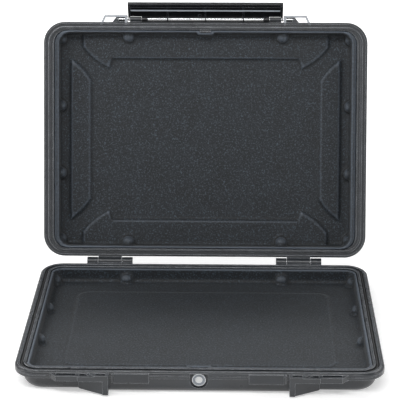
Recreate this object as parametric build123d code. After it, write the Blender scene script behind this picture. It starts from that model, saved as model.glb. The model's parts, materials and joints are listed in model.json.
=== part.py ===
from build123d import *
import os
from math import cos, sin, radians, sqrt

os.makedirs("parts", exist_ok=True)

# A slim hard case for a portable computer: a moulded base and lid with padded liners, two rear
# hinges, one wide latch between guards, two steel padlock loops, a seal ring and a pressure valve.
# Millimetres.  +X is to the right, -Y the latch side, +Z up.  The origin is the centre of the
# base's underside.  The lid is drawn closed and then swung open to its stop; the latch is drawn
# closed, turned about its own pin, and then swung with the lid.

# ---- driving dimensions: rim and shells --------------------------------------------------------
rim_width = 427.0            # outside width of the rim flange
rim_depth = 310.0            # outside depth of the rim flange
rim_corner = 28.0            # plan radius of the rim corners
base_height = 26.5           # underside to the parting face
lid_height = 31.0            # lid's parting face to its outside top
parting_gap = 0.3            # between the closed parting faces
skirt_height = 7.9           # height of the thick rim flange
base_rim_edge = 3.0          # rounding of the base rim's outer edge
lid_rim_edge = 2.0           # rounding of the lid rim's outer edge
skirt_line_drop = 3.6        # fine line round the base skirt, below the parting face
skirt_line_height = 0.9
skirt_line_depth = 0.7
body_side_inset = 9.0        # how far the shell body stands back from the rim at the sides
body_end_inset = 5.0         # and at the front and rear
body_corner = 26.0           # plan radius of the body's corners
body_draft = 3.0             # degrees, shell body walls
base_edge_radius = 10.0      # rounding where the base wall meets the underside
lid_edge_radius = 11.0       # rounding where the lid wall meets the top
wall = 3.2                   # shell wall and floor
past = 1.0                   # how far a cutting or buried shape runs past a face

# ---- rim profile, as insets from the rim's outer edge ---------------------------------------------
base_land = 13.4             # width of the base's parting land
ridge_inset = 3.1            # outer ridge of the base land
ridge_width = 1.5
ridge_height = 0.8
ridge_rounding = 0.5         # crests of the outer ridge and the inner bead
bead_inset = 10.7            # inner bead of the base land
bead_width = 1.3
groove_inset = 5.7           # groove that holds the seal ring
groove_width = 4.4
groove_depth = 4.9
seal_diameter = 4.0
seal_seat_gap = 0.05         # seal ring above the groove floor
tongue_width = 2.4           # lid rib that presses on the seal ring
tongue_drop = 0.9            # below the lid's parting face
tongue_rounding = 0.8
lid_channel_inset = 2.6      # lid channel that clears the base's outer ridge
lid_channel_width = 3.6
lid_channel_depth = 1.5
lid_bead_gap = 0.3           # lid's shallow channel beside and above the base's inner bead
lid_rebate_depth = 1.2       # step inside the tongue
lid_side_land = 13.6         # lid land at the sides
lid_side_bead = 1.5          # bead along the inner edge of that land
lid_end_land = 10.3          # lid land at the front and rear
base_opening_corner = 14.6   # plan radius of the opening inside the land
lid_opening_corner = 18.0

# ---- front bay between the guards ------------------------------------------------------------------
guard_inner = 103.2          # inner face of each guard from the centre
guard_out = 8.5              # guards beyond the rim
bay_inset = 1.5              # front bay wall behind the rim
bay_edge_radius = 9.0
guard_bottom = 1.8           # height of the base guard's lowest edge
guard_post_width = 6.4       # upright band of the base guard
guard_web_setback = 1.4      # sloping web behind the band's face
guard_web_end = 138.0        # where the web meets the body wall
guard_web_rise = 1.6         # how much the web's bottom edge climbs
guard_band_bottom = 7.8      # bottom of the long band, below the parting face
guard_band_top = 1.4         # top of the long band, below the parting face
guard_block_end = 138.0      # outer end of the guard's full depth
band_out = 7.3               # long band beyond the rim
band_end = 163.0             # where the band's front face ends
band_foot = 170.0            # where its end runs into the skirt
band_channel_depth = 2.5     # channel along the band's top, next to the rim
band_ledge = 3.0             # ledge in front of that channel
guard_lip_width = 1.8        # raised lip round the guard's pocket
guard_lip_top = 0.3          # lip's top below the parting face
pocket_outer = 118.0         # guard pocket, outer end
pocket_inner = 106.5         # guard pocket, inner end
pocket_depth = 9.0
pocket_wall = 2.6            # front wall of pocket and of the padlock hole
hole_outer = 136.4           # padlock hole, outer end
hole_inner = 130.0           # padlock hole, inner end at the rim; its side slopes forwards
hole_back_gap = 1.0          # padlock hole to the rim's face

# ---- catch pads, fins and valve seat in the bay ---------------------------------------------------
pad_inner = 57.0
pad_outer = 97.0
pad_out_top = 1.4            # pad beyond the rim at its top
pad_out_lip = 3.5            # pad beyond the rim at its lower lip
pad_top = 1.2                # pad's top below the parting face
pad_lip_bottom = 12.2        # underside of the catch lip, below the parting face
pad_lip_height = 1.6
fin_centre = 99.0            # upright fin between pad and guard
fin_width = 1.4
fin_out = 2.4
fin_bottom = 11.9            # below the parting face, clear of the latch's hook
valve_drop = 9.8             # valve axis below the parting face
valve_recess_radius = 10.4
valve_recess_depth = 3.5     # from the bay wall
valve_recess_top = 1.4       # below the parting face
valve_boss_half_width = 11.0

# ---- pressure valve ---------------------------------------------------------------------------------
valve_flange_diameter = 16.4
valve_flange_thickness = 2.0
valve_flange_lip = 1.1       # width of the raised metal ring round the cover
valve_flange_bevel = 0.5
valve_shank_diameter = 9.6
valve_bore_diameter = 5.0
valve_hole_gap = 0.1
valve_seat_depth = 1.3       # counterbore for the cover, screen and membrane
cover_thickness = 0.5
screen_thickness = 0.3
membrane_thickness = 0.2
stack_gap = 0.05
cover_opening = 8.8          # opening in the cover that shows the membrane
screen_hole_count = 8
screen_hole_diameter = 0.8
screen_hole_radius = 1.6
gasket_thickness = 0.8
gasket_diameter = 14.4
nut_across_flats = 14.0
nut_thickness = 3.2
thread_gap = 0.05

# ---- hinges -----------------------------------------------------------------------------------------
hinge_offset = 6.5           # hinge axis behind the rim
hinge_from_side = 88.5       # middle of each hinge from the rim's side
hinge_width = 60.0
hinge_lid_knuckle = 31.0
hinge_side_gap = 0.5
knuckle_radius = 5.5
hinge_pin_diameter = 4.0
running_gap = 0.05           # radial, pin in hole
lid_open_angle = 108.2       # closed to the stop
stop_gap = 0.3               # stop heel to the base skirt at rest
heel_height = 6.5            # height of the stop heel's face
heel_thickness = 4.2

# ---- latch -------------------------------------------------------------------------------------------
latch_axis_out = 4.2         # latch pin in front of the rim
latch_axis_rise = 4.2        # latch pin above the base's parting face, lid closed
latch_rest_angle = 48.0      # opened this far from closed, as photographed
latch_open_angle = 120.0     # closed to fully open
latch_length = 25.0          # pin to the tip
latch_end_gap = 1.4          # latch to guard
barrel_radius = 2.8
blade_inner = 0.8            # blade's inner face in front of the pin
blade_thickness = 2.8
hook_play = 0.3              # hook under the catch lip
hook_end_play = 0.5          # hook beyond the catch pad's outer end
hook_thickness = 1.2
hook_slope = 0.9             # far side of the hook runs out over this length
hook_reach = 5.0             # hook tip behind the pin's plane
hook_end_slope = 2.6         # slope of the hook's two ends
lip_start = 21.4             # thick pull lip, from the pin
lip_outer_step = 0.6
lip_inner = 0.6              # pull lip behind the pin's plane
lip_bevel = 0.8
lip_ramp = 1.2
end_wall = 2.6               # thickness of the latch's end walls
end_wall_reach = 1.5
pip_place = -7.5             # moulding pip on the blade's inner face, from the middle
pip_drop = 5.5               # and below the pin
pip_radius = 2.0
pip_height = 0.9
fin_pitch = 50.0             # latch fins either side of the middle
latch_fin_width = 1.6
latch_fin_reach = 1.5        # fin behind the pin's plane, along the blade
latch_barrel = 8.0           # length of the barrel beside each lug
latch_fin_brace = 0.25       # fin beyond the hook where it braces it
fin_disc_radius = 3.3
lug_inner = 84.6             # lid lugs that carry the latch pin
lug_outer = 99.7
lug_gap = 0.5
shelf_setback = 1.4          # ledge over the latch, behind the pin's plane
shelf_thickness = 1.6
latch_pin_diameter = 3.0
latch_pin_end = 117.4
pin_middle_gap = 0.4         # between the two latch pins

# ---- lid guards and padlock loops -------------------------------------------------------------------
lid_guard_height = 12.0
lid_guard_slope = 6.0        # sloping top above the front face
lid_guard_front_end = 116.2  # outer end of the guard's front face
lid_guard_foot = 123.0       # outer end where it meets the rim
lid_pocket_inner = 106.4
lid_pocket_outer = 114.6
lid_pocket_wall = 2.7        # front wall of the lid guard's pocket
lid_pocket_depth = 8.5
loop_thickness = 1.6
loop_rise = 0.6              # loop above the lid's parting face
loop_out = 9.0               # loop beyond the rim
loop_band = 2.6
loop_inner = 103.4
loop_outer_foot = 137.4
loop_outer_tip = 133.0
loop_root = 3.2              # length of the legs buried in the rim
loop_root_gap = 0.05
rivet_diameter = 1.6
rivet_head_diameter = 2.4
rivet_head_height = 0.5
rivet_length = 6.0
rivet_edge = 1.5             # rivet line behind the loop's outer edge
rivet_places = (106.0, 113.6)

# ---- liners -----------------------------------------------------------------------------------------
liner_gap = 0.2              # liner to shell
base_liner_floor = 4.0
base_liner_wall = 4.0
base_liner_edge = 8.0        # rounding of the liner's outer edge at the shell's floor
lid_liner_edge = 8.2
base_liner_top = 1.0         # liner's top below the parting face
base_pad_rise = 2.0          # raised pad on the base liner's floor
base_pad_margin = 34.0       # bare floor round that pad
lid_liner_floor = 4.0
lid_liner_side_wall = 6.5
lid_liner_end_wall = 3.1
lid_liner_flange_drop = 1.5  # liner's flange behind the lid's parting face
liner_floor_radius = 5.0     # cove between liner wall and floor
bump_radius = 7.8
side_bump_reach = 8.5        # base side bumps, from the liner's inner face
end_bump_reach = 12.5        # lid front and rear bumps
side_bump_count = 4
side_bump_pitch = 89.4
end_bump_place = 102.0       # bumps on the front and rear walls
bump_top = 6.0               # bump tops below the liner's top
side_pad_edge = 181.0        # lid liner's raised side pads
side_pad_corner = 109.0
side_pad_step = 30.0
end_strip_edge = 106.0       # lid liner's raised strips along front and rear
end_strip_side = 165.0
end_strip_corner = 123.0
end_strip_notch = 127.0
end_strip_reach = 93.0
end_strip_slope = 30.0
strip_wall_gap = 1.0         # strips run on past the liner's wall by this much
pad_rise = 4.0
pad_taper = 35.0
tab_half_width = 7.0         # valve relief tab on the lid rim
tab_reach = 3.0
tab_notch = 1.2
relief_half_width = 10.4     # relief round the valve nut in the liners
relief_reach = 4.6

# ---- stiffening panels moulded outside --------------------------------------------------------------
panel_margin = 42.0
panel_depth = 1.0
panel_corner = 16.0
panel_rib_count = 5
panel_rib_width = 14.0

# ---- places worked out from the sizes above -----------------------------------------------------------
half_width = rim_width / 2
half_depth = rim_depth / 2
hinge_centre = half_width - hinge_from_side
lid_face = base_height + parting_gap
lid_top = lid_face + lid_height
hinge_y = half_depth + hinge_offset
hinge_axis = Axis((0, hinge_y, base_height), (1, 0, 0))
latch_y = -half_depth - latch_axis_out
latch_z = base_height + latch_axis_rise
latch_axis = Axis((0, latch_y, latch_z), (1, 0, 0))
guard_front = -half_depth - guard_out
rim_front = -half_depth
bay_front = -half_depth + bay_inset
body_width = rim_width - 2 * body_side_inset
body_depth = rim_depth - 2 * body_end_inset
valve_z = base_height - valve_drop
latch_half = guard_inner - latch_end_gap


def block(x0, x1, y0, y1, z0, z1):
    """A plain block between two corners."""
    return Pos((x0 + x1) / 2, (y0 + y1) / 2, (z0 + z1) / 2) * Box(x1 - x0, y1 - y0, z1 - z0)


def plate(width, depth, corner, z0, z1):
    """A plate with rounded corners, centred on the Z axis."""
    return extrude(Pos(0, 0, z0) * RectangleRounded(width, depth, corner), z1 - z0)


def rim_ring(inset, width, z0, z1):
    """A ring that follows the rim at an inset from its outer edge."""
    inner = inset + width
    outside = plate(rim_width - 2 * inset, rim_depth - 2 * inset, rim_corner - inset, z0, z1)
    hollow = plate(rim_width - 2 * inner, rim_depth - 2 * inner, rim_corner - inner, z0, z1)
    return outside - hollow


def rounded_ring(inset, width, z_root, z_crest, rounding):
    """A rim ring whose crest, at z_crest, is rounded."""
    ring = rim_ring(inset, width, min(z_root, z_crest), max(z_root, z_crest))
    crest = ring.faces().sort_by(Axis.Z)[-1 if z_crest > z_root else 0]
    return fillet(crest.edges(), rounding)


def prism_x(points, x0, x1):
    """A closed (y, z) outline carried along X."""
    outline = make_face(Plane.YZ * Polyline(*points, close=True))
    return extrude(Pos(x0, 0, 0) * outline, x1 - x0, dir=(1, 0, 0))


def prism_z(points, z0, z1):
    """A closed (x, y) outline carried up."""
    outline = make_face(Polyline(*points, close=True))
    return extrude(Pos(0, 0, z0) * outline, z1 - z0, dir=(0, 0, 1))


def rod_x(y, z, radius, x0, x1):
    """A round bar along X."""
    return Pos((x0 + x1) / 2, y, z) * Rot(0, 90, 0) * Cylinder(radius, x1 - x0)


def rod_y(x, z, radius, y0, y1):
    """A round bar along Y."""
    return Pos(x, (y0 + y1) / 2, z) * Rot(90, 0, 0) * Cylinder(radius, y1 - y0)


def both_sides(part):
    """A part with its mirror image across the middle plane."""
    return part + mirror(part, about=Plane.YZ)


def drafted_box(width, depth, corner, z_open, z_closed, edge_radius, draft):
    """A tub's outside: it narrows from its open face to its closed face, whose edge is rounded."""
    height = abs(z_closed - z_open)
    shrink = height * sin(radians(draft)) / cos(radians(draft))
    wide = Pos(0, 0, z_open) * RectangleRounded(width, depth, corner)
    narrow = Pos(0, 0, z_closed) * RectangleRounded(width - 2 * shrink, depth - 2 * shrink,
                                                    corner - shrink)
    tub = loft([wide, narrow], ruled=True)
    closed_edges = tub.faces().sort_by(Axis.Z)[0 if z_closed < z_open else -1].edges()
    return fillet(closed_edges, edge_radius)


def lid_swing(part):
    """A closed lid piece swung open to the stop."""
    return part.rotate(hinge_axis, -lid_open_angle)


def hinge_places():
    return (-hinge_centre, hinge_centre)


def panel_cut(z_face, inward):
    """Shallow recess between stiffening ribs on an outside face."""
    width = rim_width - 2 * panel_margin
    depth = rim_depth - 2 * panel_margin
    z_inner = z_face + inward * panel_depth
    low, high = sorted((z_face, z_inner))
    recess = plate(width, depth, panel_corner, low, high)
    pitch = depth / panel_rib_count
    for index in range(panel_rib_count):
        middle = (index - (panel_rib_count - 1) / 2) * pitch
        recess -= block(-width / 2, width / 2, middle - panel_rib_width / 2,
                        middle + panel_rib_width / 2, low, high)
    return recess


def guard_lip():
    """The raised lip round the left guard's pocket, open towards the rim."""
    outer = [(-guard_inner, guard_front), (-pocket_outer, guard_front),
             (-pocket_outer - guard_out, rim_front), (-guard_inner, rim_front)]
    inner = [(-guard_inner - guard_lip_width, guard_front + guard_lip_width),
             (-pocket_outer + guard_lip_width / 2, guard_front + guard_lip_width),
             (-pocket_outer - guard_out + 2 * guard_lip_width, rim_front),
             (-guard_inner - guard_lip_width, rim_front)]
    low = base_height - guard_band_top
    high = base_height - guard_lip_top
    return prism_z(outer, low, high) - prism_z(inner, low, high)


def guard_web():
    """The sloping web under the band, with a bottom edge that climbs outwards."""
    post_end = guard_inner + guard_post_width
    web_front = guard_front + guard_web_setback
    body_face = rim_front + body_end_inset
    web = prism_z([(-guard_inner, body_face + wall / 2), (-guard_inner, web_front),
                   (-post_end, web_front), (-guard_web_end, body_face),
                   (-guard_web_end, body_face + wall / 2)],
                  guard_bottom, base_height - guard_band_bottom)
    under = make_face(Plane.XZ * Polyline((-post_end, guard_bottom), (-guard_web_end, guard_bottom),
                                          (-guard_web_end, guard_bottom + guard_web_rise),
                                          close=True))
    return web - extrude(under, half_depth + guard_out, dir=(0, -1, 0))


def base_guard():
    """The guard left of the bay, with its long band, pocket and padlock hole."""
    band_low = base_height - guard_band_bottom
    band_high = base_height - guard_band_top
    inside = rim_front + base_rim_edge
    band_front = rim_front - band_out
    guard = prism_z([(-guard_inner, inside), (-guard_inner, guard_front),
                     (-guard_block_end, guard_front), (-guard_block_end, band_front),
                     (-band_end, band_front), (-band_foot, rim_front), (-band_foot, inside)],
                    band_low, band_high)
    guard += block(-guard_inner - guard_post_width, -guard_inner, guard_front,
                   rim_front + body_end_inset + wall / 2, guard_bottom, band_high)
    guard += guard_web() + guard_lip()
    hole_back = rim_front - hole_back_gap
    hole_front = guard_front + pocket_wall
    slope = hole_back - hole_front
    guard -= prism_z([(-hole_outer, hole_back), (-hole_outer, hole_front),
                      (-hole_inner + slope, hole_front), (-hole_inner, hole_back)],
                     guard_bottom, base_height)
    guard -= block(-pocket_outer, -pocket_inner, hole_front, hole_back,
                   base_height - pocket_depth, base_height)
    return guard - block(-band_end, -guard_block_end - pocket_wall, band_front + band_ledge,
                         rim_front, band_high - band_channel_depth, base_height)


def catch_pad():
    """The left catch pad: it swells to a lip at the bottom that the latch hooks under."""
    lip_z = base_height - pad_lip_bottom
    inside = bay_front + wall / 2
    return prism_x([(inside, base_height - pad_top), (rim_front - pad_out_top, base_height - pad_top),
                    (rim_front - pad_out_lip, lip_z + pad_lip_height),
                    (rim_front - pad_out_lip, lip_z), (inside, lip_z)], -pad_outer, -pad_inner)


def knuckle(x0, x1, z_side):
    """A hinge knuckle with its arm; z_side is +1 above the parting face and -1 below it."""
    arm_face = base_height if z_side < 0 else lid_face
    arm_root = wall if z_side < 0 else (lid_rim_edge + lid_channel_inset) / 2
    arm_end = base_height + z_side * knuckle_radius
    low, high = sorted((arm_face, arm_end))
    arm = block(x0, x1, half_depth - arm_root, hinge_y, low, high)
    return rod_x(hinge_y, base_height, knuckle_radius, x0, x1) + arm


def stop_heel(x0, x1):
    """The heel under a lid knuckle, drawn where it meets the base skirt when the lid is open."""
    face = half_depth + stop_gap
    heel = block(x0, x1, face, face + heel_thickness, base_height - heel_height, base_height)
    return heel.rotate(hinge_axis, lid_open_angle)


def make_base_shell():
    """The moulded base: rim flange, drafted tub, latch bay, guards, catch pads, hinge knuckles."""
    z_flange = base_height - skirt_height
    flange = plate(rim_width, rim_depth, rim_corner, z_flange, base_height)
    flange = fillet(flange.faces().sort_by(Axis.Z)[-1].edges(), base_rim_edge)
    tub = drafted_box(body_width, body_depth, body_corner, z_flange, 0, base_edge_radius, body_draft)
    bay = block(-guard_inner - wall / 2, guard_inner + wall / 2, bay_front,
                bay_front + bay_edge_radius + wall, 0, z_flange)
    bay = fillet(bay.edges().filter_by(Axis.X).group_by(Axis.Y)[0].sort_by(Axis.Z)[0], bay_edge_radius)
    shell = flange + tub + bay
    shell += both_sides(base_guard())
    shell += both_sides(catch_pad())
    fin = block(-fin_centre - fin_width / 2, -fin_centre + fin_width / 2, rim_front - fin_out,
                bay_front + wall / 2, base_height - fin_bottom, base_height - pad_top)
    shell += both_sides(fin)
    # hollow: straight through the land, then wider below it
    shell -= plate(rim_width - 2 * base_land, rim_depth - 2 * base_land, base_opening_corner,
                   z_flange - past, base_height)
    hollow = drafted_box(body_width - 2 * wall, body_depth - 2 * wall, body_corner - wall,
                         z_flange, wall, base_edge_radius - wall, body_draft)
    # the front wall stays thick behind the bay's middle, where the valve passes through
    boss = block(-valve_boss_half_width, valve_boss_half_width, rim_front, rim_front + base_land,
                 0, z_flange)
    shell -= hollow - boss
    shell -= rim_ring(groove_inset, groove_width, base_height - groove_depth, base_height)
    for inset, width in ((ridge_inset, ridge_width), (bead_inset, bead_width)):
        shell += rounded_ring(inset, width, base_height - past, base_height + ridge_height,
                              ridge_rounding)
    line_top = base_height - skirt_line_drop
    line = plate(rim_width, rim_depth, rim_corner, line_top - skirt_line_height, line_top)
    line -= plate(rim_width - 2 * skirt_line_depth, rim_depth - 2 * skirt_line_depth,
                  rim_corner - skirt_line_depth, line_top - skirt_line_height, line_top)
    shell -= line & block(-half_width, half_width, -half_depth, rim_corner - half_depth,
                          0, base_height)
    # valve seat: a half-round recess open towards the rim, and the hole for the shank
    seat = valve_places()["seat"]
    recess = rod_y(0, valve_z, valve_recess_radius, rim_front - past, seat)
    recess += block(-valve_recess_radius, valve_recess_radius, rim_front - past, seat,
                    valve_z, base_height)
    shell -= recess & block(-half_width, half_width, rim_front - past, seat, 0,
                            base_height - valve_recess_top)
    shell -= rod_y(0, valve_z, valve_shank_diameter / 2 + valve_hole_gap, seat,
                   valve_places()["inside"])
    side = (hinge_width - hinge_lid_knuckle) / 2 - hinge_side_gap
    for place in hinge_places():
        for edge in (-1, 1):
            x0, x1 = sorted((place + edge * hinge_width / 2,
                             place + edge * (hinge_width / 2 - side)))
            shell += knuckle(x0, x1, -1)
        shell -= rod_x(hinge_y, base_height, hinge_pin_diameter / 2 + running_gap,
                       place - hinge_width, place + hinge_width)
    return shell - panel_cut(0, 1)


def loop_outline():
    """Plan of the left padlock loop: a bent strap with two legs that enter the rim."""
    tip = rim_front - loop_out
    root = rim_front + loop_root
    lean = (loop_outer_foot - loop_outer_tip) / loop_out
    foot = loop_outer_foot + lean * loop_root
    skew = loop_band * sqrt(1 + lean * lean)
    inner_tip = tip + loop_band
    inner_lean = lean * (inner_tip - root)
    return [(-foot, root), (-loop_outer_tip, tip), (-loop_inner, tip), (-loop_inner, root),
            (-loop_inner - loop_band, root), (-loop_inner - loop_band, inner_tip),
            (-foot + skew - inner_lean, inner_tip), (-foot + skew, root)]


def loop_z():
    low = lid_face + loop_rise
    return low, low + loop_thickness


def padlock_loop():
    low, high = loop_z()
    return prism_z(loop_outline(), low, high) - rivet_set()


def rivet_set():
    """Two countersunk rivets through the left loop into the guard above it."""
    low, high = loop_z()
    line = rim_front - loop_out + rivet_edge
    rivets = []
    for place in rivet_places:
        head = Cylinder(rivet_head_diameter / 2, rivet_head_height)
        shank = Cylinder(rivet_diameter / 2, rivet_length)
        rivets.append(Pos(-place, line, low + rivet_head_height / 2) * head
                      + Pos(-place, line, low + rivet_length / 2) * shank)
    return Part() + rivets


def lid_guard():
    """The left guard on the lid, hollow behind its front wall."""
    low = loop_z()[1]
    high = lid_face + lid_guard_height
    front = rim_front - guard_out
    back = rim_front + past
    guard = prism_z([(-guard_inner, back), (-guard_inner, front), (-lid_guard_front_end, front),
                     (-lid_guard_foot, rim_front), (-lid_guard_foot, back)],
                    low, high + lid_guard_slope)
    guard &= prism_x([(front, low), (front, high), (back, high + lid_guard_slope), (back, low)],
                     -lid_guard_foot, -guard_inner)
    guard += block(-lid_guard_foot, -guard_inner, back, rim_front + body_end_inset + wall / 2,
                   lid_face + skirt_height - past, high + lid_guard_slope)
    guard -= block(-lid_pocket_outer, -lid_pocket_inner, front + lid_pocket_wall,
                   rim_front - hole_back_gap, low, low + lid_pocket_depth)
    return guard


def lid_lug():
    """The left lug on the lid that carries the latch pin."""
    arm = block(-lug_outer, -lug_inner, latch_y, rim_front + past, latch_z,
                latch_z + barrel_radius)
    return rod_x(latch_y, latch_z, barrel_radius, -lug_outer, -lug_inner) + arm


def latch_shelf():
    """A ledge on the lid's front wall over the latch's barrel, clear of the heel's swing."""
    low = latch_z + sqrt(latch_heel() ** 2 + (blade_inner + blade_thickness) ** 2) + stop_gap
    return block(-lug_outer, lug_outer, latch_y + shelf_setback, rim_front + body_end_inset + past,
                 low, low + shelf_thickness)


def make_lid_shell():
    """The moulded lid, drawn closed."""
    z_flange = lid_face + skirt_height
    flange = plate(rim_width, rim_depth, rim_corner, lid_face, z_flange)
    flange = fillet(flange.faces().sort_by(Axis.Z)[0].edges(), lid_rim_edge)
    shell = flange + drafted_box(body_width, body_depth, body_corner, z_flange, lid_top,
                                 lid_edge_radius, body_draft)
    shell += both_sides(lid_guard())
    shell += both_sides(lid_lug()) + latch_shelf()
    shell -= plate(rim_width - 2 * lid_side_land, rim_depth - 2 * lid_end_land, lid_opening_corner,
                   lid_face, z_flange + past)
    shell -= drafted_box(body_width - 2 * wall, body_depth - 2 * wall, body_corner - wall,
                         z_flange, lid_top - wall, lid_edge_radius - wall, body_draft)
    # rim profile: channel over the base's ridge, tongue over the seal, rebate inside the tongue
    shell -= rim_ring(lid_channel_inset, lid_channel_width, lid_face,
                      lid_face + lid_channel_depth)
    tongue_inset = groove_inset + (groove_width - tongue_width) / 2
    rebate_outer = tongue_inset + tongue_width
    rebate = plate(rim_width - 2 * rebate_outer, rim_depth - 2 * rebate_outer,
                   rim_corner - rebate_outer, lid_face, lid_face + lid_rebate_depth)
    bead_outer = lid_side_land - lid_side_bead
    side_bead = plate(rim_width - 2 * bead_outer, rim_depth - 2 * lid_end_land,
                      lid_opening_corner + lid_side_bead, lid_face, lid_face + lid_rebate_depth)
    shell -= rebate - side_bead
    shell += rounded_ring(tongue_inset, tongue_width, lid_face + past, lid_face - tongue_drop,
                          tongue_rounding)
    # relief tab over the valve nut
    tab_back = rim_front + lid_end_land
    tab = block(-tab_half_width, tab_half_width, tab_back - past, tab_back + tab_reach,
                lid_face, lid_face + wall)
    tab -= Pos(0, tab_back + tab_reach, lid_face) * Rot(0, 0, 45) * Box(tab_notch, tab_notch, 2 * wall)
    shell += tab
    shell -= rim_ring(bead_inset - lid_bead_gap, bead_width + 2 * lid_bead_gap, lid_face,
                      lid_face + ridge_height - parting_gap + lid_bead_gap)
    low, high = loop_z()
    leg_slots = prism_z(loop_outline(), low - loop_root_gap, high)
    rivet_holes = rivet_set()
    shell -= both_sides(leg_slots + rivet_holes)
    shell -= rod_x(latch_y, latch_z, latch_pin_diameter / 2 + running_gap,
                   -latch_pin_end - running_gap, latch_pin_end + running_gap)
    for place in hinge_places():
        x0 = place - hinge_lid_knuckle / 2
        x1 = place + hinge_lid_knuckle / 2
        shell += knuckle(x0, x1, 1)
        shell += stop_heel(x0, x1)
        shell -= rod_x(hinge_y, base_height, hinge_pin_diameter / 2 + running_gap, x0, x1)
    return shell - panel_cut(lid_top, -1)


def latch_heel():
    """How far the blade runs on above the pin: it meets the lid's front wall when fully open."""
    swing = radians(latch_open_angle)
    return (latch_axis_out - stop_gap + (blade_inner + blade_thickness) * cos(swing)) / sin(swing)


def down_out(points):
    """Latch outline from (distance below the pin, distance in front of the pin), latch closed."""
    return [(latch_y - out, latch_z - down) for down, out in points]


def latch_hook():
    """The hook along the blade that grips under the catch pads, with sloping ends."""
    start = latch_axis_rise + pad_lip_bottom + hook_play
    far = start + hook_thickness
    root = blade_inner + blade_thickness / 2
    base_end = pad_outer + hook_end_play + hook_end_slope
    rib = prism_x(down_out([(start, root), (start, -hook_reach), (far, -hook_reach),
                            (far + hook_slope, blade_inner), (far + hook_slope, root)]),
                  -base_end, base_end)
    tip_y = latch_y + hook_reach
    ends = prism_z([(-base_end, latch_y - root), (-base_end, latch_y - blade_inner),
                    (hook_end_slope - base_end, tip_y), (base_end - hook_end_slope, tip_y),
                    (base_end, latch_y - blade_inner), (base_end, latch_y - root)],
                   latch_z - latch_length, latch_z)
    return rib & ends


def latch_fin(middle):
    """A thin fin from the barrel to the hook, which it braces."""
    root = blade_inner + blade_thickness / 2
    hook_start = latch_axis_rise + pad_lip_bottom + hook_play
    hook_far = hook_start + hook_thickness
    brace = hook_reach + latch_fin_brace
    x0 = middle - latch_fin_width / 2
    x1 = middle + latch_fin_width / 2
    fin = prism_x(down_out([(0, root), (0, -latch_fin_reach),
                            (hook_start - hook_reach + latch_fin_reach, -latch_fin_reach),
                            (hook_start, -brace), (hook_far, -brace),
                            (hook_far + hook_slope + latch_fin_brace, blade_inner),
                            (hook_far + hook_slope + latch_fin_brace, root)]), x0, x1)
    return fin + rod_x(latch_y, latch_z, fin_disc_radius, x0, x1)


def make_latch():
    """The wide latch, drawn closed: barrels, blade, hook, fins, end walls and pull lip."""
    blade_outer = blade_inner + blade_thickness
    root = blade_inner + blade_thickness / 2
    heel = latch_heel()
    latch = prism_x(down_out([(-heel, blade_outer), (latch_length, blade_outer),
                              (latch_length, blade_inner), (-heel, blade_inner)]),
                    -latch_half, latch_half)
    latch += latch_hook()
    lip_outer = blade_outer + lip_outer_step
    latch += prism_x(down_out([(lip_start, root), (lip_start, blade_outer),
                               (lip_start + lip_outer_step, lip_outer),
                               (latch_length - lip_bevel, lip_outer),
                               (latch_length, lip_outer - lip_bevel), (latch_length, 0),
                               (latch_length - lip_bevel, -lip_inner),
                               (lip_start + lip_ramp, -lip_inner), (lip_start, blade_inner)]),
                     -latch_half, latch_half)
    side_wall = down_out([(0, root), (0, -end_wall_reach), (lip_start, -end_wall_reach),
                          (lip_start + lip_ramp, -lip_inner), (lip_start + lip_ramp, root)])
    for edge in (-1, 1):
        x0, x1 = sorted((edge * latch_half, edge * (latch_half - end_wall)))
        latch += prism_x(side_wall, x0, x1)
        latch += rod_x(latch_y, latch_z, barrel_radius, x0, x1)
    # the pins run bare between the short barrels at the lugs and the fins
    barrel_end = lug_inner - lug_gap
    latch += both_sides(rod_x(latch_y, latch_z, barrel_radius, -barrel_end,
                              latch_barrel - barrel_end))
    for middle in (-fin_pitch, 0, fin_pitch):
        latch += latch_fin(middle)
    latch += rod_y(pip_place, latch_z - pip_drop, pip_radius, latch_y - root,
                   latch_y - blade_inner + pip_height)
    # room for the lid lugs through the whole swing
    clear = barrel_radius + lug_gap
    room = prism_x(down_out([(-clear, blade_outer), (clear, blade_outer), (clear, -clear),
                             (-clear, -clear)]), -lug_outer - lug_gap, -lug_inner + lug_gap)
    latch -= both_sides(room)
    latch -= rod_x(latch_y, latch_z, latch_pin_diameter / 2 + running_gap, -latch_half, latch_half)
    return latch.rotate(latch_axis, -latch_rest_angle)


def make_seal_ring():
    centre_inset = groove_inset + groove_width / 2
    z = base_height - groove_depth + seal_seat_gap + seal_diameter / 2
    path = Pos(0, 0, z) * RectangleRounded(rim_width - 2 * centre_inset, rim_depth - 2 * centre_inset,
                                           rim_corner - centre_inset)
    start = Plane(origin=(0, -half_depth + centre_inset, z), z_dir=(1, 0, 0))
    return sweep(start * Circle(seal_diameter / 2), path=path.wire())


def post(x, y, radius, z0, z1):
    """A liner bump: a round post with a domed end."""
    direction = 1 if z1 > z0 else -1
    length = abs(z1 - z0) - radius
    middle = z0 + direction * length / 2
    return (Pos(x, y, middle) * Cylinder(radius, length)
            + Pos(x, y, z0 + direction * length) * Sphere(radius))


def bumps(half_x, half_y, side_reach, end_reach, z_floor, z_end):
    """Posts along the liner's walls: four a side, two at the front and two at the rear."""
    together = Part()
    for side in (-1, 1):
        for index in range(side_bump_count):
            y = (index - (side_bump_count - 1) / 2) * side_bump_pitch
            y = max(-half_y + bump_radius, min(half_y - bump_radius, y))
            x = side * (half_x - side_reach + bump_radius)
            together += post(x, y, bump_radius, z_floor, z_end)
        for place in (-end_bump_place, end_bump_place):
            y = side * (half_y - end_reach + bump_radius)
            together += post(place, y, bump_radius, z_floor, z_end)
    return together


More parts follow.
